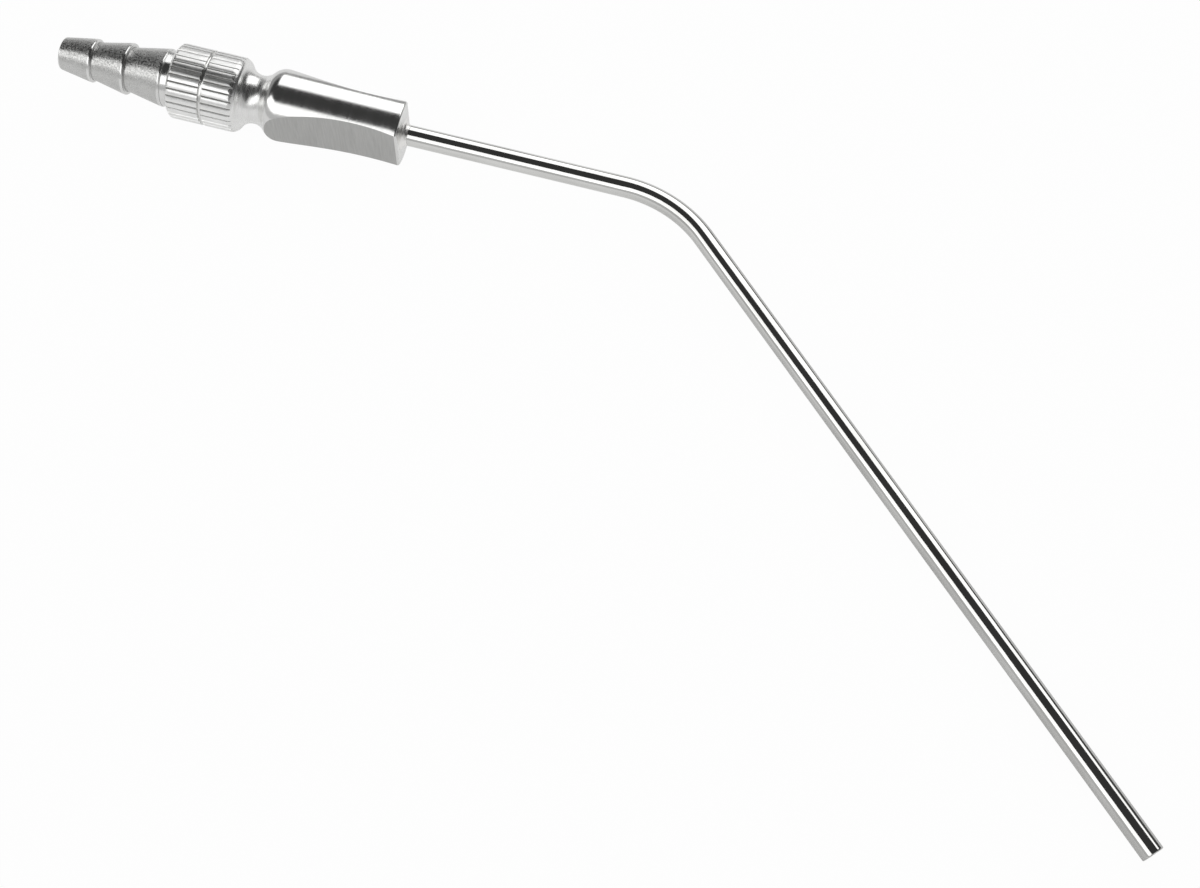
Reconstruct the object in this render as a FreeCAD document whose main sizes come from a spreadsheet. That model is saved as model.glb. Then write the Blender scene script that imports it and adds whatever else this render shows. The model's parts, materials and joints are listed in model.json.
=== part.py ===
# Frazier suction tube: a turned and milled grip with a stepped hose nozzle,
# a bent thin-walled cannula soldered into its front end, and the solder fillet.
# Every body is drawn with the hose tip at its origin and the handle's axis along +X.
# The three are then laid down together as the instrument rests on a table.
import FreeCAD, Part
import math
import os

import Sketcher

SIZES = [
    # hose nozzle: three tapered steps, numbered from the hose tip
    ("nozzle_tip_dia", 4.73),
    ("step_1_length", 4.85),
    ("step_2_length", 5.15),
    ("step_3_length", 5.65),
    ("crest_1_dia", 6.33),
    ("crest_2_dia", 7.5),
    ("crest_3_dia", 8.42),
    ("valley_1_dia", 5.5),
    ("valley_2_dia", 6.36),
    ("crest_back", 0.4),
    ("tip_chamfer", 0.2),
    # neck between the nozzle and the knurled collar
    ("neck_dia", 8.15),
    ("neck_length", 1.4),
    # knurled collar: two fluted rings with a turned groove between them
    ("collar_dia", 10.8),
    ("collar_chamfer", 0.45),
    ("ring_1_length", 4.88),
    ("ring_groove_width", 0.55),
    ("ring_groove_depth", 0.3),
    ("ring_2_length", 3.64),
    ("flute_count", 32),
    ("flute_width", 0.44),
    ("flute_depth", 0.26),
    ("collar_break", 1.3),
    # waist and grip
    ("waist_dia", 7.0),
    ("waist_hollow", 2.35),
    ("shoulder_round", 2.55),
    ("grip_dia", 10.4),
    ("grip_front_dia", 9.9),
    ("grip_length", 17.82),
    ("front_break", 0.35),
    # scooped finger faces, one on each side of the grip
    ("scoop_radius", 45.0),
    ("scoop_floor", 2.7),
    ("scoop_setback", 5.9),
    # bore, cannula socket and finger cut-off hole
    ("bore_dia", 2.5),
    ("bore_chamfer", 0.25),
    ("socket_depth", 6.0),
    ("socket_clearance", 0.03),
    ("vent_dia", 2.3),
    ("vent_setback", 10.2),
    ("vent_countersink", 0.35),
    # cannula
    ("tube_od", 3.0),
    ("tube_wall", 0.25),
    ("run_to_bend", 40.0),
    ("run_to_tip", 108.2),
    ("bend_radius", 18.0),
    ("bend_angle", 45.0),
    ("bend_turn", 5.0),
    ("tube_tip_break", 0.08),
    # solder
    ("solder_leg", 0.9),
    ("solder_throat", 0.29),
]

doc = FreeCAD.newDocument("frazier_suction_tube")
sheet = doc.addObject("Spreadsheet::Sheet", "Sizes")
for row, (alias, number) in enumerate(SIZES, start=1):
    sheet.set(f"A{row}", alias)
    sheet.set(f"B{row}", str(number))
    sheet.setAlias(f"B{row}", alias)
doc.recompute()


def size(formula):
    """Value of a formula written with the aliases of the sheet."""
    return float(sheet.evalExpression(formula))


def bound(formula):
    """The same formula as an expression that other objects can use."""
    names = sorted((alias for alias, number in SIZES), key=len, reverse=True)
    text = formula
    for index, alias in enumerate(names):
        text = text.replace(alias, f"<{index}>")
    for index, alias in enumerate(names):
        text = text.replace(f"<{index}>", f"Sizes.{alias}")
    return text


# Sketch helpers

def new_body(label):
    body = doc.addObject("PartDesign::Body", label)
    body.Label = label
    return body


def origin_feature(body, role):
    return next(item for item in body.Origin.OriginFeatures if item.Role == role)


def new_sketch(body, name, role):
    sketch = body.newObject("Sketcher::SketchObject", name)
    sketch.AttachmentSupport = [(origin_feature(body, role), "")]
    sketch.MapMode = "FlatFace"
    return sketch


def place_point(sketch, geometry, end, axis, formula):
    """Dimension one coordinate of a sketch point from the origin."""
    value = size(formula)
    kind = "DistanceX" if axis == "x" else "DistanceY"
    if formula == "0":
        across = -2 if axis == "x" else -1
        sketch.addConstraint(Sketcher.Constraint("PointOnObject", geometry, end, across))
        return
    if value < 0:
        index = sketch.addConstraint(Sketcher.Constraint(kind, geometry, end, -1, 1, -value))
        sketch.setExpression(f"Constraints[{index}]", bound(f"-({formula})"))
        return
    index = sketch.addConstraint(Sketcher.Constraint(kind, -1, 1, geometry, end, value))
    sketch.setExpression(f"Constraints[{index}]", bound(formula))


def arc_through(start, finish, radius, turn):
    """Arc from start to finish, turning left (+1) or right (-1), under half a circle."""
    chord = finish - start
    half = chord.Length / 2
    rise = math.sqrt(max(radius * radius - half * half, 0))
    left = FreeCAD.Vector(-chord.y, chord.x, 0).normalize()
    centre = (start + finish) / 2 + left * rise * turn
    first, last = (start, finish) if turn > 0 else (finish, start)
    from_angle = math.atan2(first.y - centre.y, first.x - centre.x)
    to_angle = math.atan2(last.y - centre.y, last.x - centre.x)
    if to_angle < from_angle:
        to_angle += 2 * math.pi
    circle = Part.Circle(centre, FreeCAD.Vector(0, 0, 1), radius)
    return Part.ArcOfCircle(circle, from_angle, to_angle)


def draw(sketch, corners, arcs, closed=True):
    """Lines and arcs from corner to corner; arcs maps an edge number to (radius, turn)."""
    points = [FreeCAD.Vector(size(across), size(up), 0) for across, up in corners]
    edges = len(points) if closed else len(points) - 1
    ends = []
    for number in range(edges):
        start = points[number]
        finish = points[(number + 1) % len(points)]
        if number in arcs:
            radius, turn = arcs[number]
            edge = sketch.addGeometry(arc_through(start, finish, size(radius), turn), False)
            ends.append((edge, 1, 2) if turn > 0 else (edge, 2, 1))
        else:
            edge = sketch.addGeometry(Part.LineSegment(start, finish), False)
            ends.append((edge, 1, 2))
    for number in range(edges):
        following = (number + 1) % edges
        if closed or number < edges - 1:
            edge, unused, out = ends[number]
            after, into, unused = ends[following]
            sketch.addConstraint(Sketcher.Constraint("Coincident", edge, out, after, into))
    for number, (across, up) in enumerate(corners):
        edge, into, out = ends[min(number, edges - 1)]
        end = into if number < edges else out
        place_point(sketch, edge, end, "x", across)
        place_point(sketch, edge, end, "y", up)
    for number, (radius, turn) in arcs.items():
        index = sketch.addConstraint(Sketcher.Constraint("Radius", ends[number][0], size(radius)))
        sketch.setExpression(f"Constraints[{index}]", bound(radius))


def draw_circle(sketch, across, up, radius):
    centre = FreeCAD.Vector(size(across), size(up), 0)
    circle = sketch.addGeometry(Part.Circle(centre, FreeCAD.Vector(0, 0, 1), size(radius)), False)
    place_point(sketch, circle, 3, "x", across)
    place_point(sketch, circle, 3, "y", up)
    index = sketch.addConstraint(Sketcher.Constraint("Radius", circle, size(radius)))
    sketch.setExpression(f"Constraints[{index}]", bound(radius))


def revolve(body, kind, name, sketch, axis):
    """Full turn of a sketch about one of its own axes."""
    feature = body.newObject(f"PartDesign::{kind}", name)
    feature.Profile = sketch
    feature.ReferenceAxis = (sketch, [axis])
    feature.Angle = 360
    return feature


def must_cut(feature, before):
    """A cut that misses the solid shows no error, so its volume is compared."""
    doc.recompute()
    if feature.Shape.Volume >= before.Shape.Volume:
        raise RuntimeError(f"{feature.Name} removes nothing")


# Stations along the handle, measured from the hose tip

CREST_1 = "step_1_length"
CREST_2 = f"({CREST_1} + step_2_length)"
CREST_3 = f"({CREST_2} + step_3_length)"
COLLAR_START = f"({CREST_3} + neck_length)"
RING_GROOVE = f"({COLLAR_START} + ring_1_length)"
RING_2 = f"({RING_GROOVE} + ring_groove_width)"
COLLAR_END = f"({RING_2} + ring_2_length)"
GROOVE_WALL = "(ring_groove_width / 4)"


def s_curve_reach(over, hollow, drop):
    """Axial reach of a convex arc that runs tangent into a concave one."""
    return f"sqrt({drop} * (2 * ({over} + {hollow}) - {drop}))"


COLLAR_DROP = "((collar_dia - waist_dia) / 2)"
GRIP_DROP = "((grip_dia - waist_dia) / 2)"
COLLAR_REACH = s_curve_reach("collar_break", "waist_hollow", COLLAR_DROP)
GRIP_REACH = s_curve_reach("shoulder_round", "waist_hollow", GRIP_DROP)
WAIST = f"({COLLAR_END} + {COLLAR_REACH})"
SHOULDER = f"({WAIST} + {GRIP_REACH})"
FRONT = f"({SHOULDER} + grip_length)"


# Handle: hose nozzle, knurled collar, waist and scooped grip, turned from one bar

def handle_outline():
    """Half section of the turned handle, from the bore at the hose tip round to the socket."""
    corners = []
    arcs = {}

    def corner(across, up, radius=None, turn=0):
        if radius:
            arcs[len(corners)] = (radius, turn)
        corners.append((across, up))

    corner("0", "bore_dia / 2 + bore_chamfer")
    corner("0", "nozzle_tip_dia / 2 - tip_chamfer")
    corner("tip_chamfer", "nozzle_tip_dia / 2")
    steps = (
        (CREST_1, "crest_1_dia", "valley_1_dia"),
        (CREST_2, "crest_2_dia", "valley_2_dia"),
        (CREST_3, "crest_3_dia", "neck_dia"),
    )
    for place, crest, valley in steps:
        corner(place, f"{crest} / 2")
        corner(f"{place} + crest_back", f"{valley} / 2")
    corner(COLLAR_START, "neck_dia / 2")
    corner(COLLAR_START, "collar_dia / 2 - collar_chamfer")
    corner(f"{COLLAR_START} + collar_chamfer", "collar_dia / 2")
    corner(RING_GROOVE, "collar_dia / 2")
    corner(f"{RING_GROOVE} + {GROOVE_WALL}", "collar_dia / 2 - ring_groove_depth")
    corner(f"{RING_2} - {GROOVE_WALL}", "collar_dia / 2 - ring_groove_depth")
    corner(RING_2, "collar_dia / 2")

    collar_share = "waist_hollow / (waist_hollow + collar_break)"
    grip_share = "waist_hollow / (waist_hollow + shoulder_round)"
    corner(COLLAR_END, "collar_dia / 2")
    corner(f"{WAIST} - {COLLAR_REACH} * {collar_share}",
           f"waist_dia / 2 + {COLLAR_DROP} * {collar_share}", "waist_hollow", 1)
    corner(f"{WAIST} + {GRIP_REACH} * {grip_share}",
           f"waist_dia / 2 + {GRIP_DROP} * {grip_share}", "shoulder_round", -1)
    corner(SHOULDER, "grip_dia / 2")
    corner(f"{FRONT} - front_break", "grip_front_dia / 2")
    corner(FRONT, "grip_front_dia / 2 - front_break")
    corner(FRONT, "tube_od / 2 + socket_clearance")
    corner(f"{FRONT} - socket_depth", "tube_od / 2 + socket_clearance")
    corner(f"{FRONT} - socket_depth", "bore_dia / 2")
    corner("bore_chamfer", "bore_dia / 2")
    return corners, arcs


def cut_scoops(body, turned):
    """Two shallow hollow-ground finger faces, opposite each other."""
    sketch = new_sketch(body, "scoop_outline", "XY_Plane")
    middle = f"({FRONT} - scoop_setback)"
    height = "(grip_dia / 2 + waist_hollow)"
    past_front = f"({FRONT} + front_break)"

    def floor_at(place):
        return f"scoop_floor + scoop_radius - sqrt(scoop_radius^2 - ({place} - {middle})^2)"

    corners = [
        (WAIST, floor_at(WAIST)),
        (past_front, floor_at(past_front)),
        (past_front, height),
        (WAIST, height),
    ]
    draw(sketch, corners, {0: ("scoop_radius", 1)})
    pocket = body.newObject("PartDesign::Pocket", "scoop")
    pocket.Profile = sketch
    pocket.SideType = "Symmetric"
    pocket.setExpression("Length", bound("2 * grip_dia"))
    must_cut(pocket, turned)
    mirrored = body.newObject("PartDesign::Mirrored", "scoop_pair")
    mirrored.Originals = [pocket]
    mirrored.MirrorPlane = (origin_feature(body, "XZ_Plane"), [""])
    body.Tip = mirrored
    must_cut(mirrored, pocket)
    return mirrored


def cut_vent(body, scooped):
    """Finger cut-off hole from one scoop into the bore, with a countersunk rim."""
    sketch = new_sketch(body, "vent_outline", "XY_Plane")
    middle = f"({FRONT} - vent_setback)"
    offset = "(vent_setback - scoop_setback)"
    floor = f"(scoop_floor + scoop_radius - sqrt(scoop_radius^2 - {offset}^2))"
    flare = "(2 * vent_countersink)"
    corners = [
        (middle, "0"),
        (f"{middle} + vent_dia / 2", "0"),
        (f"{middle} + vent_dia / 2", f"{floor} - vent_countersink"),
        (f"{middle} + vent_dia / 2 + {flare}", f"{floor} + vent_countersink"),
        (middle, f"{floor} + vent_countersink"),
    ]
    draw(sketch, corners, {})
    centre_line = sketch.addGeometry(Part.LineSegment(
        FreeCAD.Vector(size(middle), 0, 0),
        FreeCAD.Vector(size(middle), size("grip_dia"), 0)), True)
    sketch.addConstraint(Sketcher.Constraint("Coincident", centre_line, 1, 0, 1))
    sketch.addConstraint(Sketcher.Constraint("Vertical", centre_line))
    index = sketch.addConstraint(Sketcher.Constraint("Distance", centre_line, size("grip_dia")))
    sketch.setExpression(f"Constraints[{index}]", bound("grip_dia"))
    vent = revolve(body, "Groove", "vent", sketch, "Axis0")
    must_cut(vent, scooped)
    return vent


def cut_flutes(body, before):
    """Straight knurl: one V-shaped flute over both rings, repeated round the collar."""
    sketch = new_sketch(body, "flute_section", "YZ_Plane")
    sketch.setExpression("AttachmentOffset.Base.z", bound(f"{COLLAR_START} - flute_width"))
    rim = "(collar_dia / 2)"
    corners = [
        ("0", f"{rim} - flute_depth"),
        ("flute_width", f"{rim} + flute_depth"),
        ("-flute_width", f"{rim} + flute_depth"),
    ]
    draw(sketch, corners, {})
    flute = body.newObject("PartDesign::Pocket", "flute")
    flute.Profile = sketch
    flute.Reversed = True
    past_end = f"({COLLAR_END} + collar_break)"
    flute.setExpression("Length", bound(f"{past_end} - {COLLAR_START} + flute_width"))
    must_cut(flute, before)
    pattern = body.newObject("PartDesign::PolarPattern", "flutes")
    pattern.Originals = [flute]
    pattern.Axis = (origin_feature(body, "X_Axis"), [""])
    pattern.Angle = 360
    pattern.setExpression("Occurrences", bound("flute_count"))
    body.Tip = pattern
    must_cut(pattern, flute)
    return pattern


def make_handle():
    body = new_body("handle")
    sketch = new_sketch(body, "turned_outline", "XY_Plane")
    corners, arcs = handle_outline()
    draw(sketch, corners, arcs)
    turned = revolve(body, "Revolution", "turned", sketch, "H_Axis")
    doc.recompute()
    scooped = cut_scoops(body, turned)
    vented = cut_vent(body, scooped)
    cut_flutes(body, vented)
    return body


# Cannula: thin-walled tube with one bend, seated in the socket

def make_cannula():
    body = new_body("cannula")
    foot = f"({FRONT} - socket_depth)"
    bend_corner = f"({FRONT} + run_to_bend)"
    reach = "(bend_radius * tan(bend_angle / 2))"
    path = new_sketch(body, "axis_line", "XY_Plane")
    corners = [
        (foot, "0"),
        (f"{bend_corner} - {reach}", "0"),
        (f"{bend_corner} + {reach} * cos(bend_angle)", f"-{reach} * sin(bend_angle)"),
        (f"{bend_corner} + run_to_tip * cos(bend_angle)", "-run_to_tip * sin(bend_angle)"),
    ]
    draw(path, corners, {1: ("bend_radius", -1)}, closed=False)
    features = []
    for kind, name, radius in (
        ("AdditivePipe", "wall", "tube_od / 2"),
        ("SubtractivePipe", "lumen", "tube_od / 2 - tube_wall"),
    ):
        section = new_sketch(body, f"{name}_section", "YZ_Plane")
        section.setExpression("AttachmentOffset.Base.z", bound(foot))
        draw_circle(section, "0", "0", radius)
        doc.recompute()
        pipe = body.newObject(f"PartDesign::{kind}", name)
        pipe.Profile = section
        pipe.Spine = (path, ["Edge1", "Edge2", "Edge3"])
        doc.recompute()
        features.append(pipe)
    must_cut(features[1], features[0])
    tip = FreeCAD.Vector(size(corners[-1][0]), size(corners[-1][1]), 0)
    rim = [
        f"Edge{number}"
        for number, edge in enumerate(features[1].Shape.Edges, start=1)
        if isinstance(edge.Curve, Part.Circle)
        and (edge.Curve.Center - tip).Length < size("tube_wall") / 2
        and edge.Curve.Radius > size("tube_od / 2 - tube_wall / 2")
    ]
    chamfer = body.newObject("PartDesign::Chamfer", "tip_edge")
    chamfer.Base = (features[1], rim)
    chamfer.setExpression("Size", bound("tube_tip_break"))
    must_cut(chamfer, features[1])
    return body


# Solder: the concave ring of filler metal where the cannula enters the grip

def make_solder():
    body = new_body("solder_fillet")
    sketch = new_sketch(body, "solder_outline", "XY_Plane")
    tube = "tube_od / 2"
    corners = [
        (FRONT, tube),
        (f"{FRONT} + solder_leg", tube),
        (f"{FRONT} + solder_throat", f"{tube} + solder_throat"),
        (FRONT, f"{tube} + solder_leg"),
    ]
    draw(sketch, corners, {})
    revolve(body, "Revolution", "ring", sketch, "H_Axis")
    doc.recompute()
    return body


# Rest pose: the collar, the grip's front end and the tip of the cannula touch the table

POSE_ROUNDS = 5


def rest_pose():
    """Rotation that lays the three lowest rims on one level, and the height of the hose tip."""
    collar_radius = size("collar_dia / 2")
    front_radius = size("grip_front_dia / 2")
    collar_place = size(COLLAR_END)
    front_place = size(f"{FRONT} - front_break")
    pitch = math.atan2(collar_radius - front_radius, front_place - collar_place)
    axis_z = -math.sin(pitch)
    height = collar_radius * math.cos(pitch) - collar_place * axis_z
    bend = math.radians(size("bend_angle"))
    corner_z = height + size(f"{FRONT} + run_to_bend") * axis_z
    arm = size("run_to_tip")
    slope = 0.0
    for attempt in range(POSE_ROUNDS):
        tip_z = size("tube_od / 2") * math.sqrt(1 - slope * slope)
        slope = (tip_z - corner_z) / arm
    sink = (slope - math.cos(bend) * axis_z) / (math.sin(bend) * math.cos(pitch))
    roll = math.degrees(math.asin(-sink))
    turn = FreeCAD.Rotation(FreeCAD.Vector(0, 1, 0), math.degrees(pitch))
    lean = FreeCAD.Rotation(FreeCAD.Vector(1, 0, 0), roll)
    return turn.multiply(lean), height


handle = make_handle()
cannula = make_cannula()
solder = make_solder()
parts = [handle, cannula, solder]

rotation, height = rest_pose()
lift = FreeCAD.Placement(FreeCAD.Vector(0, 0, height), rotation)
# the finger faces stand a few degrees off the plane of the bend
grip_turn = FreeCAD.Rotation(FreeCAD.Vector(1, 0, 0), size("bend_turn"))
handle.Placement = lift.multiply(FreeCAD.Placement(FreeCAD.Vector(), grip_turn))
cannula.Placement = lift
solder.Placement = lift
doc.recompute()

# the origin is the middle of the footprint, on the table
box = FreeCAD.BoundBox()
for body in parts:
    box.add(body.Shape.optimalBoundingBox(False, False))
shift = FreeCAD.Vector(-box.Center.x, -box.Center.y, -box.ZMin)
for body in parts:
    body.Placement = FreeCAD.Placement(body.Placement.Base + shift, body.Placement.Rotation)
doc.recompute()

for item in doc.Objects:
    if {"Invalid", "Error"} & set(item.State):
        raise RuntimeError(f"{item.Name}: {item.State}")

os.makedirs("parts", exist_ok=True)
for body in parts:
    shape = body.Shape
    if shape.isNull() or not shape.isValid() or len(shape.Solids) != 1:
        raise RuntimeError(f"{body.Label} is not one valid solid")
    shape.exportStep(f"parts/{body.Label}.step")
    print(body.Label, round(shape.Volume, 3), "mm3")
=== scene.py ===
import json
import math

import bmesh
import bpy
import numpy as np
from mathutils import Matrix, Vector


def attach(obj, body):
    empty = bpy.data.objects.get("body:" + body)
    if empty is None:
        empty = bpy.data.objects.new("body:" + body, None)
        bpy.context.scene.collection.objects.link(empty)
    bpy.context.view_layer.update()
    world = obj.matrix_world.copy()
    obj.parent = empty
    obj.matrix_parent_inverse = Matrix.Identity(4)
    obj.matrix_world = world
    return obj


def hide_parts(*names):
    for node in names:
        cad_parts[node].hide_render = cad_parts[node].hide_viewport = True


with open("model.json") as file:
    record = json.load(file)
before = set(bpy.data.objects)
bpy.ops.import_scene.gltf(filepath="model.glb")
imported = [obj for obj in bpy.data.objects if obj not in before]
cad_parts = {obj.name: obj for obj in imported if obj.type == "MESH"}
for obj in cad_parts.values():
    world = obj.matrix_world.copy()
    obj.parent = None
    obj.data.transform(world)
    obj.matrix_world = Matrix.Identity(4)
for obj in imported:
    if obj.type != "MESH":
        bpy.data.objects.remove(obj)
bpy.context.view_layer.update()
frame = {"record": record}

MM = 0.001

# Sizes that the solids have too
TIP_RADIUS = 2.365
STEP_LENGTHS = (4.85, 5.15, 5.65)
CREST_RADII = (3.165, 3.75, 4.21)
VALLEY_RADII = (2.75, 3.18, 4.075)
NECK_LENGTH = 1.4
COLLAR_RADIUS = 5.4
COLLAR_CHAMFER = 0.45
RING_1 = 4.88
RING_GROOVE = 0.55
RING_GROOVE_DEPTH = 0.3
RING_2 = 3.64
COLLAR_BREAK = 1.3
FLUTES = 32
FLUTE_DEPTH = 0.25
WAIST_RADIUS = 3.5
WAIST_HOLLOW = 2.35
SHOULDER_ROUND = 2.55
GRIP_RADIUS = 5.2
GRIP_FRONT_RADIUS = 4.95
GRIP_LENGTH = 17.82
FRONT_BREAK = 0.35
SCOOP_RADIUS = 45.0
SCOOP_FLOOR = 2.7
SCOOP_SETBACK = 5.9
BORE_RADIUS = 1.25
SOCKET_RADIUS = 1.53
SOCKET_DEPTH = 6.0
VENT_RADIUS = 1.15
VENT_SETBACK = 10.2
VENT_COUNTERSINK = 0.35
TUBE_RADIUS = 1.5
LUMEN_RADIUS = 1.25
RUN_TO_BEND = 40.0
RUN_TO_TIP = 108.2
BEND_RADIUS = 18.0
GRIP_TURN = math.radians(5.0)
SOLDER_LEG = 0.9

# Edges sharper than this aren't shaded smooth, and points or edges below these lengths in metres
# are joined or left out of a mesh
SHARP_ANGLE = math.radians(34)
SAME_POINT = 1e-7
NO_EDGE = 1e-8

# Stations along the handle
CREST_PLACES = tuple(sum(STEP_LENGTHS[:count]) for count in (1, 2, 3))
COLLAR_START = CREST_PLACES[-1] + NECK_LENGTH
RING_GROOVE_START = COLLAR_START + RING_1
RING_2_START = RING_GROOVE_START + RING_GROOVE
COLLAR_END = RING_2_START + RING_2


def s_curve_reach(over, hollow, drop):
    """Axial reach of a convex arc that runs tangent into a concave one."""
    return math.sqrt(drop * (2 * (over + hollow) - drop))


COLLAR_DROP = COLLAR_RADIUS - WAIST_RADIUS
GRIP_DROP = GRIP_RADIUS - WAIST_RADIUS
WAIST = COLLAR_END + s_curve_reach(COLLAR_BREAK, WAIST_HOLLOW, COLLAR_DROP)
SHOULDER = WAIST + s_curve_reach(SHOULDER_ROUND, WAIST_HOLLOW, GRIP_DROP)
FRONT = SHOULDER + GRIP_LENGTH
SCOOP_MIDDLE = FRONT - SCOOP_SETBACK

# The instrument's frame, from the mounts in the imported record
mounts = {mount["name"]: mount for mount in frame["record"]["mounts"]}
along = -Vector(mounts["hose_nozzle"]["axis"])
arm = Vector(mounts["cannula_shaft"]["axis"])
BEND = along.angle(arm)
side = (along * math.cos(BEND) - arm) / math.sin(BEND)
up = along.cross(side)
turn = Matrix((along, side, up)).transposed()
place = Matrix.Translation(Vector(mounts["hose_nozzle"]["pos_m"])) @ turn.to_4x4()
grip_place = place @ Matrix.Rotation(GRIP_TURN, 4, "X")

# Stations along the cannula's centreline, from the front face
BEND_REACH = BEND_RADIUS * math.tan(BEND / 2)
BEND_ARC = BEND_RADIUS * BEND
BEND_START = RUN_TO_BEND - BEND_REACH
BEND_END = BEND_START + BEND_ARC
TUBE_END = BEND_END + RUN_TO_TIP - BEND_REACH


# Curves and angles that the outlines are made of

def s_curve(start, start_radius, end_radius, over, hollow, count):
    """Points down a convex arc and out along a concave one, from a crest to a valley."""
    drop = start_radius - end_radius
    reach = s_curve_reach(over, hollow, drop)
    steepest = math.acos(1 - drop / (over + hollow))
    points = []
    for index in range(count + 1):
        angle = steepest * index / count
        points.append((start + over * math.sin(angle), start_radius - over * (1 - math.cos(angle))))
    for index in range(1, count + 1):
        angle = steepest * (1 - index / count)
        points.append((start + reach - hollow * math.sin(angle),
                       end_radius + hollow * (1 - math.cos(angle))))
    return points


def rounding(radius, count):
    """Pairs round a corner: a distance that grows from 0 to the radius, and one that falls to 0."""
    angles = [math.pi / 2 * index / count for index in range(count + 1)]
    return [(radius * (1 - math.cos(angle)), radius * (1 - math.sin(angle))) for angle in angles]


def spread(first, last, count, power=1.0):
    """Numbers from first to last, crowded towards first when power is over 1."""
    return [first + (last - first) * (index / count) ** power for index in range(count + 1)]


def angles_round(count):
    """Equal steps of angle once round a circle."""
    return [2 * math.pi * index / count for index in range(count)]


def spot(x, radius, angle):
    """Point at a station, a distance and an angle from the axis, measured from +Y towards +Z."""
    return x, radius * math.cos(angle), radius * math.sin(angle)


def circle(x, radius, angles):
    return [spot(x, radius, angle) for angle in angles]


# A mesh is built from rings of points; neighbouring rings may differ in their number of points.

class Shell:
    def __init__(self):
        self.points = []
        self.faces = []
        self.kinds = []

    def ring(self, points):
        """Add points and return their numbers."""
        first = len(self.points)
        self.points.extend(points)
        return list(range(first, first + len(points)))

    def face(self, corners, kind):
        self.faces.append(corners)
        self.kinds.append(kind)

    def band(self, before, after, kinds):
        """Quads between two rings with as many points, all of one kind or each of its own."""
        count = len(before)
        if isinstance(kinds, int):
            kinds = [kinds] * count
        for index, kind in enumerate(kinds):
            following = (index + 1) % count
            self.face((before[index], before[following], after[following], after[index]), kind)

    def zipper(self, before, after, kind):
        """Triangles between two rings that run the same way round but differ in number."""
        def by_angle(ring):
            angles = [math.atan2(self.points[corner][2], self.points[corner][1]) for corner in ring]
            first = angles.index(min(angles))
            rising = sorted(angles)
            return ring[first:] + ring[:first], rising + [rising[0] + 2 * math.pi]

        inner, inner_angles = by_angle(before)
        outer, outer_angles = by_angle(after)
        low = high = 0
        while low < len(inner) or high < len(outer):
            step_inner = high == len(outer) or (
                low < len(inner) and inner_angles[low + 1] <= outer_angles[high + 1])
            near = inner[low % len(inner)]
            far = outer[high % len(outer)]
            if step_inner:
                low += 1
                corner = inner[low % len(inner)]
            else:
                high += 1
                corner = outer[high % len(outer)]
            self.face((near, corner, far), kind)

    def piece(self, name, matrix, materials):
        """The finished mesh in metres, moved by the matrix, as an object in the scene."""
        mesh = bpy.data.meshes.new(name)
        scaled = np.array(self.points, float) * MM
        mesh.from_pydata([tuple(point) for point in scaled], [], self.faces)
        for material in materials:
            mesh.materials.append(material)
        mesh.polygons.foreach_set("material_index", self.kinds)
        mesh.polygons.foreach_set("use_smooth", [True] * len(mesh.polygons))
        work = bmesh.new()
        work.from_mesh(mesh)
        bmesh.ops.remove_doubles(work, verts=work.verts, dist=SAME_POINT)
        bmesh.ops.dissolve_degenerate(work, edges=work.edges, dist=NO_EDGE)
        bmesh.ops.recalc_face_normals(work, faces=work.faces)
        work.to_mesh(mesh)
        work.free()
        mesh.transform(matrix)
        mesh.update()
        item = bpy.data.objects.new(name, mesh)
        bpy.context.scene.collection.objects.link(item)
        return item


# Handle: the numbers of its materials, in the order in which the piece is given them
MATTE, POLISHED, SATIN, BRUSHED, INSIDE, TURNED, SHADED_RECESS = range(7)

# Nozzle: polished lands and rounded edges at its crests, painted shade in the hollow corners behind
# them
NOZZLE_COLUMNS = 144
BORE_EDGE = 0.25
TIP_ROUND = 0.25
TIP_ROUND_STEPS = 5
CONE_STEPS = 4
CREST_LAND = 0.18
CREST_LAND_DROP = 0.02
CREST_ROUND = 0.18
CREST_HOLLOW = 0.2
CREST_CURVE_STEPS = 6
CREST_POLISHED_STEPS = 9


def nozzle_outline():
    """(x, radius, finish of the stretch that leads there) from the bore's mouth to the neck."""
    rows = [(BORE_EDGE, BORE_RADIUS, INSIDE), (0.0, BORE_RADIUS + BORE_EDGE, INSIDE)]
    rows += [(inward, TIP_RADIUS - under, POLISHED)
             for inward, under in rounding(TIP_ROUND, TIP_ROUND_STEPS)]
    for crest_place, crest, valley in zip(CREST_PLACES, CREST_RADII, VALLEY_RADII):
        start, start_radius = rows[-1][:2]
        slope = (crest - start_radius) / (crest_place - start)
        cone = spread(start, crest_place - CREST_LAND, CONE_STEPS)[1:]
        rows += [(x, start_radius + slope * (x - start), MATTE) for x in cone]
        curve = s_curve(crest_place, crest - CREST_LAND_DROP, valley, CREST_ROUND, CREST_HOLLOW,
                        CREST_CURVE_STEPS)
        # Past the polished steps, the crest's hollow corner gets painted shade
        rows += [(x, radius, POLISHED if index <= CREST_POLISHED_STEPS else SHADED_RECESS)
                 for index, (x, radius) in enumerate(curve)]
    return rows


def add_nozzle(shell):
    """Stepped nozzle; returns its first and last rings."""
    turns = angles_round(NOZZLE_COLUMNS)
    outline = nozzle_outline()
    rings = [shell.ring(circle(x, radius, turns)) for x, radius, finish in outline]
    finishes = [finish for x, radius, finish in outline]
    for before, after, finish in zip(rings, rings[1:], finishes[1:]):
        shell.band(before, after, finish)
    return rings[0], rings[-1]


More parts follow.
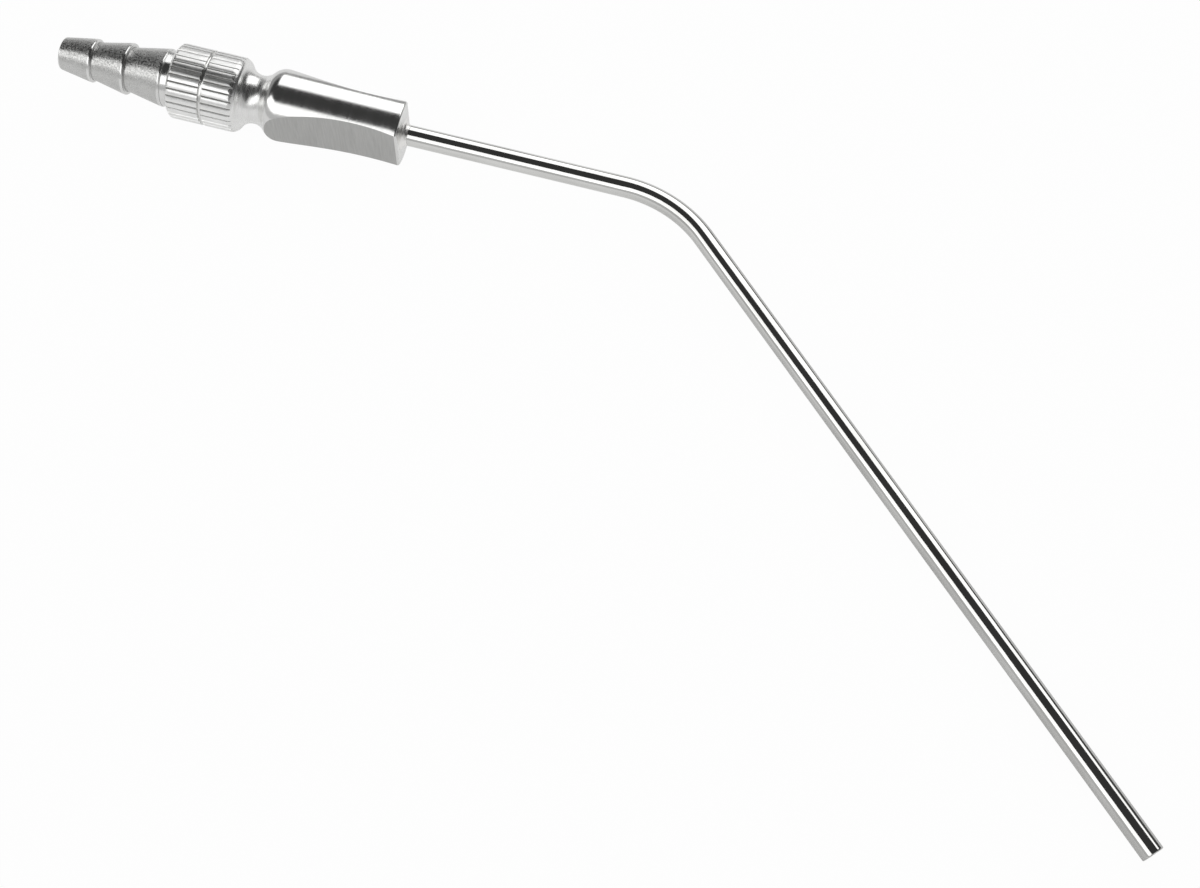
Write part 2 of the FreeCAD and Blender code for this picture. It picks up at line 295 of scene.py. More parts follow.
# Flutes: one pitch runs from -1 to 1, with a slightly crowned ridge up to RIDGE on both sides of 0.
# The columns crowd where a flute's walls are, and the flutes differ a little in depth.
FLUTE_STEPS = (-1.0, -0.92, -0.84, -0.77, -0.72, -0.4, -0.13, 0.13, 0.4, 0.72, 0.77, 0.84, 0.92)
RIDGE = 0.75
RIDGE_CROWN = 0.035
LEAST_DEPTH = 0.85
MOST_DEPTH = 1.08
# Flute floors deeper than this share of the flute's depth get painted shade
SHADED_FROM = 0.45


def flute_profile(step, uneven):
    """How far the fluted surface lies under the collar's radius, across one pitch."""
    reach = abs(step)
    if reach < RIDGE:
        return RIDGE_CROWN * (reach / RIDGE) ** 2
    wall = (reach - RIDGE) / (1 - RIDGE)
    return RIDGE_CROWN + (FLUTE_DEPTH - RIDGE_CROWN) * uneven * math.sin(wall * math.pi / 2)


def flute_columns():
    """Angle and fluted radius of every column round the collar."""
    draws = np.random.default_rng(7)
    columns = []
    for number, uneven in enumerate(draws.uniform(LEAST_DEPTH, MOST_DEPTH, FLUTES)):
        for step in FLUTE_STEPS:
            angle = 2 * math.pi * (number + (step + 1) / 2) / FLUTES
            columns.append((angle, COLLAR_RADIUS - flute_profile(step, uneven)))
    return columns


# Collar: rings on its face, its rounded chamfer, the groove's walls and floor, and the run-out.
# It stops, and the grip starts, a little before the narrowest place of the waist.
FACE_INNER_RING = 0.3
FACE_OUTER_RING = 0.1
CHAMFER_SETBACK = 0.03
CHAMFER_STEPS = 10
CHAMFER_FULLNESS = 1.3
RING_1_FROM = 0.7
RING_1_STEPS = 6
RING_2_STEPS = 5
RING_2_STOP = 0.1
GROOVE_EDGE = 0.06
GROOVE_WALL = ((0.0, 0.01), (0.04, 0.04), (0.07, 0.14), (0.09, 0.24), (0.13, 0.29))
GROOVE_FLOOR_SHARES = (0.36, 0.5, 0.64)
RUN_OUT_STEPS = 26
COLLAR_STOP = 0.06
GRIP_START = 0.03


def collar_outline():
    """(x, turned radius) from the collar's face, over its groove, and down into the waist."""
    points = [(COLLAR_START, VALLEY_RADII[-1] + FACE_INNER_RING),
              (COLLAR_START, COLLAR_RADIUS - COLLAR_CHAMFER - FACE_OUTER_RING)]
    points += [(COLLAR_START + CHAMFER_SETBACK + COLLAR_CHAMFER * share,
                COLLAR_RADIUS - COLLAR_CHAMFER * (1 - share) ** CHAMFER_FULLNESS)
               for share in spread(0.0, 1.0, CHAMFER_STEPS)]
    ring_1 = spread(COLLAR_START + RING_1_FROM, RING_GROOVE_START - GROOVE_EDGE, RING_1_STEPS)
    ring_2 = spread(RING_2_START + GROOVE_EDGE, COLLAR_END - RING_2_STOP, RING_2_STEPS)
    points += [(x, COLLAR_RADIUS) for x in ring_1]
    points += [(RING_GROOVE_START + x, COLLAR_RADIUS - drop) for x, drop in GROOVE_WALL]
    points += [(RING_GROOVE_START + RING_GROOVE * share, COLLAR_RADIUS - RING_GROOVE_DEPTH)
               for share in GROOVE_FLOOR_SHARES]
    points += [(RING_2_START - x, COLLAR_RADIUS - drop) for x, drop in reversed(GROOVE_WALL)]
    points += [(x, COLLAR_RADIUS) for x in ring_2]
    run_out = s_curve(COLLAR_END, COLLAR_RADIUS, WAIST_RADIUS, COLLAR_BREAK, WAIST_HOLLOW,
                      RUN_OUT_STEPS)
    return points + [point for point in run_out if point[0] < WAIST - COLLAR_STOP]


def collar_finish(x, turned, fluted, fluted_next):
    """Finish of a face that ends at x, from the turned radius there and its two fluted radii."""
    if RING_GROOVE_START < x <= RING_2_START:
        return POLISHED
    if min(fluted, fluted_next) > turned:
        return TURNED
    # Deep flute floors get painted shade
    if max(fluted, fluted_next) < COLLAR_RADIUS - SHADED_FROM * FLUTE_DEPTH:
        return SHADED_RECESS
    return SATIN


def add_collar(shell, neck):
    """Fluted collar from the neck's last ring on; returns its own last ring, near the waist."""
    columns = flute_columns()
    angles = [angle for angle, fluted in columns]
    radii = [fluted for angle, fluted in columns]
    previous = shell.ring(circle(COLLAR_START, VALLEY_RADII[-1], angles))
    shell.zipper(neck, previous, POLISHED)
    for x, turned in collar_outline():
        ring = shell.ring([spot(x, min(turned, fluted), angle) for angle, fluted in columns])
        kinds = [collar_finish(x, turned, *pair) for pair in zip(radii, radii[1:] + radii[:1])]
        shell.band(previous, ring, kinds)
        previous = ring
    return previous


# Grip: its scooped faces have softened edges, where two points lead from the flat to the round.
# Columns run round it, steps run along it, and crowding gathers them where the scoop starts.
GRIP_COLUMNS = 96
CHORD_COLUMNS = 22
BEVEL_SHARES = (0.33, 0.67)
FLAT_COLUMNS = CHORD_COLUMNS + 2 * (len(BEVEL_SHARES) + 1)
SOFT_EDGE = 0.09
SOFT_EDGE_SHARE = 0.35
LEAST_CUT = 1e-6
SCOOP_START_HALVINGS = 40
SCOOP_START_MARGIN = 1e-9
WAIST_STEPS = 16
WAIST_CROWDING = 1.6
SHOULDER_STEPS = 26
SHOULDER_CROWDING = 1.9
SHOULDER_MARGIN = 1.0
GRIP_STEPS = 22
FRONT_BREAK_STEPS = 6
FACE_SHARES = (0.12, 0.5, 0.85, 1.0)
BORE_LAST_RING = 1.0


def grip_half(radius, floor):
    """(y, z) of half a section through the grip: its flat face, then a round side."""
    start = 0.0
    flat = [(radius, 0.0)] * FLAT_COLUMNS
    if floor < radius - LEAST_CUT:
        corner = math.acos(floor / radius)
        soft = min(SOFT_EDGE, SOFT_EDGE_SHARE * radius * math.sin(corner))
        start = corner + soft / radius
        half_chord = radius * math.sin(corner)
        flat_end = max(half_chord - soft, 0.0)
        chord = [(floor, flat_end * math.sin(math.pi / 2 * (-1 + 2 * index / CHORD_COLUMNS)))
                 for index in range(CHORD_COLUMNS + 1)]
        round_end = (radius * math.cos(start), radius * math.sin(start))
        # The softened edge curves from the flat's end to the round side, drawn towards the corner
        bevel = []
        for share in BEVEL_SHARES:
            keep = (1 - share) ** 2
            middle = 2 * share * (1 - share)
            bevel.append((keep * floor + middle * floor + share ** 2 * round_end[0],
                          keep * flat_end + middle * half_chord + share ** 2 * round_end[1]))
        below = [(y, -z) for y, z in reversed([*bevel, round_end])]
        flat = [*below, *chord, *bevel]
    turns = [start + (math.pi - 2 * start) * index / GRIP_COLUMNS for index in range(GRIP_COLUMNS)]
    return flat + [(radius * math.cos(angle), radius * math.sin(angle)) for angle in turns]


def scoop_floor(x):
    """Distance of the scooped face from the axis."""
    return SCOOP_FLOOR + SCOOP_RADIUS - math.sqrt(SCOOP_RADIUS ** 2 - (x - SCOOP_MIDDLE) ** 2)


def grip_radius(x):
    """Turned radius from the waist to the front edge."""
    reach = SHOULDER - WAIST
    split = WAIST + reach * WAIST_HOLLOW / (WAIST_HOLLOW + SHOULDER_ROUND)
    if x <= split:
        return WAIST_RADIUS + WAIST_HOLLOW - math.sqrt(WAIST_HOLLOW ** 2 - (x - WAIST) ** 2)
    if x <= SHOULDER:
        return (GRIP_RADIUS - SHOULDER_ROUND
                + math.sqrt(SHOULDER_ROUND ** 2 - (SHOULDER - x) ** 2))
    taper = (GRIP_RADIUS - GRIP_FRONT_RADIUS) / (GRIP_LENGTH - FRONT_BREAK)
    return GRIP_RADIUS - taper * (x - SHOULDER)


def scoop_start():
    """Where the scoop's floor first meets the turned flank of the shoulder."""
    low, high = WAIST, SHOULDER
    for attempt in range(SCOOP_START_HALVINGS):
        middle = (low + high) / 2
        if scoop_floor(middle) < grip_radius(middle):
            high = middle
        else:
            low = middle
    return high


def add_grip(shell, waist):
    """Grip from the collar's last ring on; returns its own last ring, round the front face."""
    scoop_from = scoop_start()
    body_from = SHOULDER + SHOULDER_MARGIN
    stations = spread(scoop_from, WAIST - GRIP_START, WAIST_STEPS, WAIST_CROWDING)[::-1]
    stations += spread(scoop_from, body_from, SHOULDER_STEPS, SHOULDER_CROWDING)[1:]
    stations += spread(body_from, FRONT - FRONT_BREAK, GRIP_STEPS)[1:]
    outlines = [(x, grip_radius(x), scoop_floor(x)) for x in stations]
    for inset, setback in rounding(FRONT_BREAK, FRONT_BREAK_STEPS)[1:]:
        x = FRONT - setback
        outlines.append((x, GRIP_FRONT_RADIUS - inset, scoop_floor(x) - inset))
    rows = []
    for x, radius, floor in outlines:
        floor = radius if x <= scoop_from + SCOOP_START_MARGIN else min(floor, radius)
        half = grip_half(radius, floor)
        rows.append(shell.ring([(x, y, z) for y, z in half] + [(x, -y, -z) for y, z in half]))
    for x, before, after in zip(stations, rows, rows[1:len(stations)]):
        round_side = POLISHED if x > scoop_from else TURNED
        shell.band(before, after, ([BRUSHED] * FLAT_COLUMNS + [round_side] * GRIP_COLUMNS) * 2)
    for before, after in zip(rows[len(stations) - 1:-1], rows[len(stations):]):
        shell.band(before, after, POLISHED)
    # The flat faces have no width yet in the first row, so one point of each is enough
    first_row = [corner for number, corner in enumerate(rows[0])
                 if not 0 < number % (FLAT_COLUMNS + GRIP_COLUMNS) < FLAT_COLUMNS]
    shell.zipper(waist, first_row, TURNED)
    return rows[-1]


def add_front_and_bore(shell, edge, mouth):
    """Front face, socket and bore, from the ring round the face to the first ring of the nozzle."""
    outline = [shell.points[corner] for corner in edge]
    polar = [math.atan2(z, y) for x, y, z in outline]
    previous = edge
    for share in FACE_SHARES:
        ring = shell.ring([
            (FRONT, y + (SOCKET_RADIUS * math.cos(angle) - y) * share,
             z + (SOCKET_RADIUS * math.sin(angle) - z) * share)
            for (x, y, z), angle in zip(outline, polar)])
        # The front face gets the lighter satin steel, as painted light
        shell.band(previous, ring, SATIN)
        previous = ring
    socket_end = FRONT - SOCKET_DEPTH
    for x, radius in ((socket_end, SOCKET_RADIUS), (socket_end, BORE_RADIUS),
                      (BORE_LAST_RING, BORE_RADIUS)):
        ring = shell.ring(circle(x, radius, polar))
        shell.band(previous, ring, INSIDE)
        previous = ring
    shell.zipper(previous, mouth, INSIDE)


def make_handle():
    shell = Shell()
    mouth, neck = add_nozzle(shell)
    waist = add_collar(shell, neck)
    edge = add_grip(shell, waist)
    add_front_and_bore(shell, edge, mouth)
    return shell


# Finger cut-off hole: the drill widens past the scooped face, so that it cuts a soft countersink
VENT_COLUMNS = 72
VENT_FULLNESS = 1.3
VENT_SHARES = (0.15, 0.35, 0.6, 0.8, 1.0, 1.4)


def vent_drill():
    """Countersunk drill that opens the finger cut-off hole from the +Y face into the bore."""
    shell = Shell()
    centre = FRONT - VENT_SETBACK
    sink_from = scoop_floor(centre) - VENT_COUNTERSINK
    flare = 2 * VENT_COUNTERSINK
    outline = [(0.0, VENT_RADIUS), (sink_from, VENT_RADIUS)]
    outline += [(sink_from + flare * share, VENT_RADIUS + flare * share ** VENT_FULLNESS)
                for share in VENT_SHARES]
    turns = angles_round(VENT_COLUMNS)
    rings = []
    for height, radius in outline:
        rings.append(shell.ring([(centre + radius * math.cos(angle), height, radius * math.sin(angle))
                                 for angle in turns]))
    shell.face(tuple(reversed(rings[0])), 0)
    for before, after in zip(rings, rings[1:]):
        shell.band(before, after, 0)
    shell.face(tuple(rings[-1]), 0)
    return shell


def cut_away(item, drill):
    """Take the drill's shape out of the item's mesh, and the drill out of the scene."""
    cut = item.modifiers.new("vent", "BOOLEAN")
    cut.operation = "DIFFERENCE"
    cut.solver = "EXACT"
    cut.object = drill
    bpy.context.view_layer.update()
    evaluated = item.evaluated_get(bpy.context.evaluated_depsgraph_get())
    drilled = bpy.data.meshes.new_from_object(evaluated)
    item.modifiers.clear()
    item.data = drilled
    bpy.data.objects.remove(drill)


# Cannula: its points follow the centreline, and each keeps its distance along the tube and its
# place round it for the drawing lines.
TUBE_OUTSIDE, TUBE_INSIDE = range(2)
TUBE_COLUMNS = 96
TUBE_TIP_BREAK = 0.18
TIP_BREAK_STEPS = 4
TIP_MARGIN = 0.05
NEAR_RUN_STEPS = 24
BEND_STEPS = 60
FAR_RUN_STEPS = 60
LIP = 0.04
LIP_MIDDLE = 0.3
LUMEN_FROM = 1.0
LUMEN_RUN_STEPS = 6
LUMEN_BEND_STEPS = 20


def centreline(distance):
    """Point of the centreline and outward side of the bend, at a distance from the front face."""
    if distance <= BEND_START:
        return Vector((FRONT + distance, 0, 0)), Vector((0, 1, 0))
    angle = min((distance - BEND_START) / BEND_RADIUS, BEND)
    way = Vector((math.cos(angle), -math.sin(angle), 0))
    out = Vector((math.sin(angle), math.cos(angle), 0))
    centre = Vector((FRONT + BEND_START, -BEND_RADIUS, 0))
    point = centre + out * BEND_RADIUS
    if distance > BEND_END:
        point = point + way * (distance - BEND_START - BEND_ARC)
    return point, out


def make_cannula():
    """The tube's shell, and for each point its place along and round the tube in metres."""
    shell = Shell()
    turns = angles_round(TUBE_COLUMNS)
    break_from = TUBE_END - TUBE_TIP_BREAK
    outside = spread(-SOCKET_DEPTH, BEND_START, NEAR_RUN_STEPS)
    outside += spread(BEND_START, BEND_END, BEND_STEPS)[1:]
    outside += spread(BEND_END, break_from - TIP_MARGIN, FAR_RUN_STEPS)[1:] + [break_from]
    outer = [(distance, TUBE_RADIUS) for distance in outside]
    outer += [(TUBE_END - setback, TUBE_RADIUS - inset)
              for inset, setback in rounding(TUBE_TIP_BREAK, TIP_BREAK_STEPS)[1:]]
    outer += [(TUBE_END, LUMEN_RADIUS + LIP),
              (TUBE_END - LIP * LIP_MIDDLE, LUMEN_RADIUS + LIP * LIP_MIDDLE),
              (TUBE_END - LIP, LUMEN_RADIUS)]
    lumen = spread(TUBE_END - LUMEN_FROM, BEND_END, LUMEN_RUN_STEPS)
    lumen += spread(BEND_END, BEND_START, LUMEN_BEND_STEPS)[1:] + [0.0, -SOCKET_DEPTH]
    rows = outer + [(distance, LUMEN_RADIUS) for distance in lumen]
    lift = Vector((0, 0, 1))
    rings = []
    grain = []
    for distance, radius in rows:
        point, out = centreline(distance)
        rings.append(shell.ring([
            tuple(point + out * (radius * math.cos(angle)) + lift * (radius * math.sin(angle)))
            for angle in turns]))
        grain += circle(distance * MM, radius * MM, turns)
    kinds = [TUBE_OUTSIDE] * (len(outer) - 1) + [TUBE_INSIDE] * (len(lumen) + 1)
    for before, after, kind in zip(rings, rings[1:] + rings[:1], kinds):
        shell.band(before, after, kind)
    return shell, grain


# Solder: a hollow curve whose reach varies a little round the tube, by waves that are each given
# as a number round it, a start and a height. It is drawn a little small, so that the highest wave
# stays inside the solids' ring.
SOLDER_COLUMNS = 96
SOLDER_STEPS = 14
SOLDER_FULLNESS = 1.1
SOLDER_WAVES = ((3, 0.6, 0.05), (7, 2.0, 0.03))
SOLDER_GAP = 0.004
SOLDER_BORE = TUBE_RADIUS + SOLDER_GAP
SOLDER_SPREAD = 0.93
SOLDER_CLIMB = 0.98
SOLDER_SUNK = 0.01


def solder_wobble(angle):
    """How far the solder reaches at an angle round the tube, as a share of its usual reach."""
    wobble = 1
    for number, start, height in SOLDER_WAVES:
        wobble += height * math.sin(number * angle + start)
    return wobble


def make_solder():
    """Concave ring of filler, slightly uneven where it wets the face."""
    shell = Shell()
    turns = angles_round(SOLDER_COLUMNS)
    rings = []
    for index in range(SOLDER_STEPS + 1):
        angle = math.pi / 2 * index / SOLDER_STEPS
        away = SOLDER_LEG * (1 - math.sin(angle) ** SOLDER_FULLNESS)
        out = SOLDER_LEG * (1 - max(math.cos(angle), 0.0) ** SOLDER_FULLNESS)
        ring = []
        for around in turns:
            wobble = solder_wobble(around)
            x = FRONT + away * SOLDER_CLIMB * (2 - wobble)
            ring.append(spot(x, SOLDER_BORE + out * wobble * SOLDER_SPREAD, around))
        rings.append(shell.ring(ring))
    rings.append(shell.ring(circle(FRONT - SOLDER_SUNK, SOLDER_BORE, turns)))
    for before, after in zip(rings, rings[1:] + rings[:1]):
        shell.band(before, after, 0)
    return shell


# Nodes

def feed(node, inputs):
    """Give a node its inputs, each as a value or as the output of another node."""
    for name, value in inputs.items():
        if isinstance(value, bpy.types.NodeSocket):
            node.id_data.links.new(value, node.inputs[name])
        else:
            node.inputs[name].default_value = value
    return node


def add_node(tree, kind, inputs=None, **settings):
    """A new node with its settings and inputs."""
    node = tree.nodes.new(kind)
    for name, value in settings.items():
        setattr(node, name, value)
    return feed(node, inputs or {})


def smooth_step(tree, value, start, end, first, last):
    """A soft ramp from first to last while the value goes from start to end."""
    node = add_node(tree, "ShaderNodeMapRange", {
        "Value": value, "From Min": start, "From Max": end, "To Min": first, "To Max": last},
        interpolation_type="SMOOTHSTEP")
    return node.outputs["Result"]


def split_coordinates(tree, kind):
    """The X, Y and Z outputs of a texture coordinate."""
    source = add_node(tree, "ShaderNodeTexCoord")
    split = add_node(tree, "ShaderNodeSeparateXYZ", {"Vector": source.outputs[kind]})
    return split.outputs


# Materials: metal whose grain follows the handle's own axes, or the tube's where it is stored

class Metal:
    def __init__(self, name, stored_grain=None):
        self.material = bpy.data.materials.new(name)
        self.material.use_nodes = True
        self.tree = self.material.node_tree
        self.normal = None
        if stored_grain:
            source = add_node(self.tree, "ShaderNodeAttribute", attribute_name=stored_grain)
            self.coordinates = source.outputs["Vector"]
        else:
            source = add_node(self.tree, "ShaderNodeTexCoord")
            mapping = add_node(self.tree, "ShaderNodeMapping", {
                "Vector": source.outputs["Object"],
                "Location": grip_place.to_translation(),
                "Rotation": grip_place.to_euler("XYZ")}, vector_type="TEXTURE")
            self.coordinates = mapping.outputs["Vector"]

    def noise(self, scales, detail=2.0, roughness=0.5):
        """Noise stretched by a scale along each axis, in cells per metre."""
        stretched = add_node(self.tree, "ShaderNodeMapping", {
            "Vector": self.coordinates, "Scale": scales})
        noise = add_node(self.tree, "ShaderNodeTexNoise", {
            "Vector": stretched.outputs["Vector"], "Scale": 1.0, "Detail": detail,
            "Roughness": roughness})
        return noise.outputs["Fac"]

    def ramp(self, value, low, high, from_low=0.3, from_high=0.7):
        """Low to high, over the middle of the noise's own range."""
        node = add_node(self.tree, "ShaderNodeMapRange", {
            "Value": value, "From Min": from_low, "From Max": from_high,
            "To Min": low, "To Max": high})
        return node.outputs["Result"]

    def colour(self, value, dark, light):
        """Dark to light, over the middle of the noise's own range."""
        node = add_node(self.tree, "ShaderNodeMix", {
            "Factor": self.ramp(value, 0.0, 1.0), "A": (*dark, 1), "B": (*light, 1)},
            data_type="RGBA")
        return node.outputs["Result"]

    def bump(self, height, distance, strength):
        """A layer of bumps on top of those before, with its distance in metres."""
        layer = {"Height": height, "Distance": distance, "Strength": strength}
        if self.normal:
            layer["Normal"] = self.normal
        self.normal = add_node(self.tree, "ShaderNodeBump", layer).outputs["Normal"]

    def finished(self, colour, roughness):
        """The material, with its colour, roughness and bumps joined up."""
        feed(self.tree.nodes["Principled BSDF"], {
            "Metallic": 1.0, "Base Color": colour, "Roughness": roughness, "Normal": self.normal})
        return self.material


def matte_steel():
    """Bead-blasted nozzle cones: fine speckle that sparkles on the dark side."""
    metal = Metal("nozzle_matte_steel")
    speckle = metal.noise((4300, 4300, 4300), detail=1.0, roughness=0.6)
    patch = metal.noise((500, 500, 500))
    metal.bump(speckle, distance=0.00005, strength=0.5)
    colour = metal.colour(patch, dark=(0.57, 0.57, 0.56), light=(0.63, 0.63, 0.62))
    return metal.finished(colour, metal.ramp(speckle, 0.26, 0.52, from_low=0.42, from_high=0.68))


def polished_steel():
    """Polished grip, neck and edges, with faint hairlines running round them."""
    metal = Metal("handle_polished_steel")
    hairlines = metal.noise((4200, 120, 120), detail=3.0, roughness=0.7)
    haze = metal.noise((260, 120, 120))
    metal.bump(hairlines, distance=0.00001, strength=0.3)
    colour = metal.colour(haze, dark=(0.72, 0.72, 0.71), light=(0.78, 0.78, 0.77))
    return metal.finished(colour, metal.ramp(hairlines, 0.13, 0.24))


def turned_steel_painted_light():
    """Waist and the collar's run-out: turning lines left softer than on the grip, and a colour
    lighter than the grip's polished steel as painted light.
    """
    metal = Metal("handle_turned_steel")
    lines = metal.noise((5200, 200, 200), roughness=0.7)
    haze = metal.noise((500, 300, 300))
    metal.bump(lines, distance=0.00004, strength=0.5)
    colour = metal.colour(haze, dark=(0.82, 0.82, 0.81), light=(0.90, 0.90, 0.89))
    return metal.finished(colour, metal.ramp(lines, 0.2, 0.34))


def satin_steel_painted_light():
    """Knurled rings and front face: satin with fine lines drawn along the flutes, its colour lighter
    than the polished steel's as painted light.
    """
    metal = Metal("knurl_satin_steel")
    lines = metal.noise((400, 4600, 4600), roughness=0.6)
    patch = metal.noise((900, 900, 900))
    metal.bump(lines, distance=0.00001, strength=0.4)
    colour = metal.colour(patch, dark=(0.86, 0.86, 0.85), light=(0.93, 0.93, 0.92))
    return metal.finished(colour, metal.ramp(lines, 0.26, 0.4))


def painted_shade_steel():
    """Flute floors and the corners behind the crests: painted shade, darker and rougher than the
    steel round them.
    """
    metal = Metal("painted_shade_steel")
    shade_mottle = metal.noise((700, 2600, 2600))
    metal.bump(shade_mottle, distance=0.00004, strength=0.4)
    colour = metal.colour(shade_mottle, dark=(0.32, 0.32, 0.315), light=(0.50, 0.50, 0.49))
    return metal.finished(colour, metal.ramp(shade_mottle, 0.35, 0.5))


def brushed_steel_painted_shade():
    """Scooped finger faces: brushed across the grip, with a colour darker than the polished steel's
    as painted shade.
    """
    metal = Metal("scoop_brushed_steel")
    strokes = metal.noise((7000, 260, 260), detail=4.0, roughness=0.65)
    patch = metal.noise((420, 160, 160))
    metal.bump(strokes, distance=0.00002, strength=0.4)
    colour = metal.colour(strokes, dark=(0.44, 0.44, 0.43), light=(0.54, 0.54, 0.53))
    return metal.finished(colour, metal.ramp(patch, 0.36, 0.44))


def inside_steel():
    """Drilled bore and lumen: darker and rougher."""
    metal = Metal("bore_steel")
    rings = metal.noise((3000, 300, 300))
    metal.bump(rings, distance=0.00003, strength=0.4)
    colour = metal.colour(rings, dark=(0.30, 0.30, 0.30), light=(0.42, 0.42, 0.41))
    return metal.finished(colour, metal.ramp(rings, 0.35, 0.5))


def tube_steel():
    """Mirror-polished tube with faint drawing lines along it."""
    metal = Metal("cannula_polished_steel", stored_grain="grain")
    lines = metal.noise((150, 9000, 9000), detail=3.0, roughness=0.7)
    wave = metal.noise((90, 600, 600), detail=1.0)
    metal.bump(lines, distance=0.000006, strength=0.2)
    metal.bump(wave, distance=0.00002, strength=0.25)
    colour = metal.colour(wave, dark=(0.64, 0.64, 0.625), light=(0.75, 0.75, 0.735))
    return metal.finished(colour, metal.ramp(lines, 0.04, 0.09))


def solder_metal():
    """Bright silver filler with a soft ripple."""
    metal = Metal("solder_silver")
    ripple = metal.noise((1500, 1500, 1500))
    metal.bump(ripple, distance=0.00005, strength=0.4)
    colour = metal.colour(ripple, dark=(0.88, 0.87, 0.85), light=(0.95, 0.94, 0.92))
    return metal.finished(colour, metal.ramp(ripple, 0.26, 0.38))


# Pieces

bore = inside_steel()
handle = make_handle().piece(
    "handle_steel_body", Matrix.Identity(4),
    [matte_steel(), polished_steel(), satin_steel_painted_light(), brushed_steel_painted_shade(), bore, turned_steel_painted_light(),
     painted_shade_steel()])
cut_away(handle, vent_drill().piece("vent_drill", Matrix.Identity(4), [bore]))
handle.data.transform(grip_place)
handle.data.set_sharp_from_angle(angle=SHARP_ANGLE)
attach(handle, "root")
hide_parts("handle")

shell, grain = make_cannula()
cannula = shell.piece("cannula_tube", place, [tube_steel(), bore])
stored = cannula.data.attributes.new("grain", "FLOAT_VECTOR", "POINT")
stored.data.foreach_set("vector", np.array(grain, float).ravel())
cannula.data.set_sharp_from_angle(angle=SHARP_ANGLE)
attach(cannula, "root")
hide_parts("cannula")

solder = make_solder().piece("solder_ring", place, [solder_metal()])
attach(solder, "root")
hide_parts("solder_fillet")


# Camera, placed as the photograph was taken: turns in degrees, distances in millimetres

FOCAL_PIXELS = 1800
PICTURE_WIDTH = 1200
SENSOR_WIDTH = 36.0
NEAREST_SEEN = 0.01
CAMERA_ROLL = 13.831
CAMERA_YAW = 2.974
CAMERA_TWIST = -26.462
FRONT_FACE_FROM_CAMERA = Vector((-28.081, -44.31, 257.377))

# The lens looks along its own +Z with +Y down, and the camera object along -Z with +Y up
flip = Matrix.Diagonal((1, -1, -1))
to_lens = (Matrix.Rotation(math.radians(CAMERA_ROLL), 3, "Z")
           @ Matrix.Rotation(math.radians(CAMERA_YAW), 3, "Y")
           @ Matrix.Rotation(math.radians(CAMERA_TWIST), 3, "X")
           @ flip)
lens_place = Vector((FRONT, 0, 0)) - to_lens.transposed() @ FRONT_FACE_FROM_CAMERA
camera_data = bpy.data.cameras.new("camera")
camera_data.sensor_width = SENSOR_WIDTH
camera_data.lens = FOCAL_PIXELS / PICTURE_WIDTH * SENSOR_WIDTH
camera_data.clip_start = NEAREST_SEEN
camera = bpy.data.objects.new("camera", camera_data)
bpy.context.scene.collection.objects.link(camera)
axes = turn @ to_lens.transposed() @ flip
camera.matrix_world = Matrix.Translation(place @ (lens_place * MM)) @ axes.to_4x4()
bpy.context.scene.camera = camera


# Floor and light, in metres

LAMP_DISTANCE = 1.2
OVERHEAD_SIZE = 1.6
OVERHEAD_HEIGHT = 1.5
FLOOR_HALF = 4.0
FLOOR_GREY = (0.8, 0.8, 0.8, 1)
FLOOR_SEEN_GLOW = 0.97
WHITE = (1, 1, 1, 1)
DARKEST_SKY = 0.04


def area_lamp(name, width, height, radiance, matrix, mirrored=True):
    """Rectangle of light that the camera doesn't see; the steel mirrors it or doesn't."""
    data = bpy.data.lights.new(name, "AREA")
    data.shape = "RECTANGLE"
    data.size = width
    data.size_y = height
    data.energy = radiance * math.pi * data.size * data.size_y
    lamp = bpy.data.objects.new(name, data)
    bpy.context.scene.collection.objects.link(lamp)
    lamp.matrix_world = matrix
    lamp.visible_camera = False
    lamp.visible_glossy = mirrored


def softbox(name, azimuth, elevation, wide, high, radiance):
    """Lamp square to a direction from the object, with its edges measured from that direction."""
    turned = (Matrix.Rotation(math.radians(azimuth), 3, "Z")
              @ Matrix.Rotation(math.radians(-elevation), 3, "Y")
              @ Matrix(((0, 0, 1), (1, 0, 0), (0, 1, 0))))
    middle = turned @ Vector((sum(wide) / 2, sum(high) / 2, LAMP_DISTANCE))
    matrix = Matrix.Translation(middle) @ turned.to_4x4()
    area_lamp(name, wide[1] - wide[0], high[1] - high[0], radiance, matrix)


def make_lamps():
    softbox("back_softbox", azimuth=90, elevation=64, wide=(-1.04, 0.54), high=(-1.35, -0.05),
            radiance=1.5)
    softbox("front_softbox", azimuth=-122, elevation=0, wide=(-1.54, 0.97), high=(0.56, 1.86),
            radiance=1.45)
    area_lamp("overhead", OVERHEAD_SIZE, OVERHEAD_SIZE, radiance=0.75,
              matrix=Matrix.Translation((0, 0, OVERHEAD_HEIGHT)), mirrored=False)


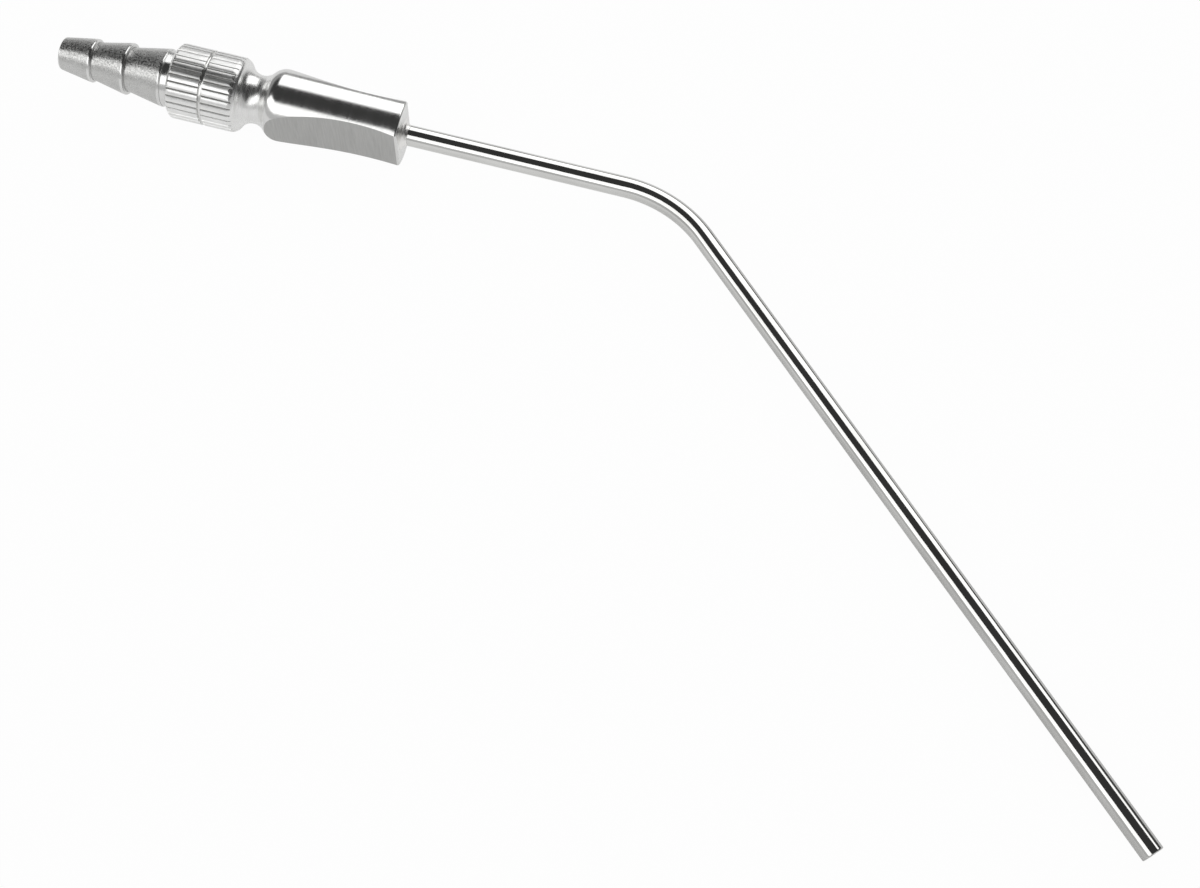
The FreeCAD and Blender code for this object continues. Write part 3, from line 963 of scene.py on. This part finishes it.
def make_world():
    """Dark overhead, pale low on the camera's side, and white where the camera looks past it all."""
    world = bpy.data.worlds.new("studio")
    bpy.context.scene.world = world
    world.use_nodes = True
    tree = world.node_tree
    paths = add_node(tree, "ShaderNodeLightPath")
    way = split_coordinates(tree, "Generated")
    low = smooth_step(tree, way["Z"], start=0.38, end=0.5, first=0.5, last=0.0)
    far_side = smooth_step(tree, way["X"], start=0.1, end=0.4, first=0.55, last=0.06)
    near_side = smooth_step(tree, way["Y"], start=-0.35, end=-0.1, first=1.0, last=far_side)
    pale = add_node(tree, "ShaderNodeMath", {0: low, 1: near_side, 2: DARKEST_SKY},
                    operation="MULTIPLY_ADD")
    strength = add_node(tree, "ShaderNodeMix", {
        "Factor": paths.outputs["Is Camera Ray"], "A": pale.outputs["Value"], "B": 1.0},
        data_type="FLOAT")
    feed(tree.nodes["Background"], {"Color": WHITE, "Strength": strength.outputs["Result"]})


def make_floor():
    """Pale paper that glows white to the camera, and less so in the steel, least past the grip."""
    mesh = bpy.data.meshes.new("floor")
    corners = [(-FLOOR_HALF, -FLOOR_HALF, 0), (FLOOR_HALF, -FLOOR_HALF, 0),
               (FLOOR_HALF, FLOOR_HALF, 0), (-FLOOR_HALF, FLOOR_HALF, 0)]
    mesh.from_pydata(corners, [], [(0, 1, 2, 3)])
    floor = bpy.data.objects.new("floor", mesh)
    bpy.context.scene.collection.objects.link(floor)
    material = bpy.data.materials.new("floor_paper")
    material.use_nodes = True
    tree = material.node_tree
    paper = feed(tree.nodes["Principled BSDF"], {
        "Base Color": FLOOR_GREY, "Roughness": 0.9, "Specular IOR Level": 0.0})
    glow = add_node(tree, "ShaderNodeEmission", {"Strength": 1.0})
    paths = add_node(tree, "ShaderNodeLightPath")
    where = split_coordinates(tree, "Object")
    fade = smooth_step(tree, where["X"], start=-0.02, end=0.03, first=0.55, last=0.18)
    mirrored = add_node(tree, "ShaderNodeMath", {
        0: paths.outputs["Is Glossy Ray"], 1: fade}, operation="MULTIPLY")
    share = add_node(tree, "ShaderNodeMath", {
        0: paths.outputs["Is Camera Ray"], 1: FLOOR_SEEN_GLOW, 2: mirrored.outputs["Value"]},
        operation="MULTIPLY_ADD")
    mix = add_node(tree, "ShaderNodeMixShader", {
        0: share.outputs["Value"], 1: paper.outputs["BSDF"], 2: glow.outputs["Emission"]})
    feed(tree.nodes["Material Output"], {"Surface": mix.outputs["Shader"]})
    mesh.materials.append(material)


make_lamps()
make_world()
make_floor()
bpy.context.scene.view_settings.view_transform = "Standard"
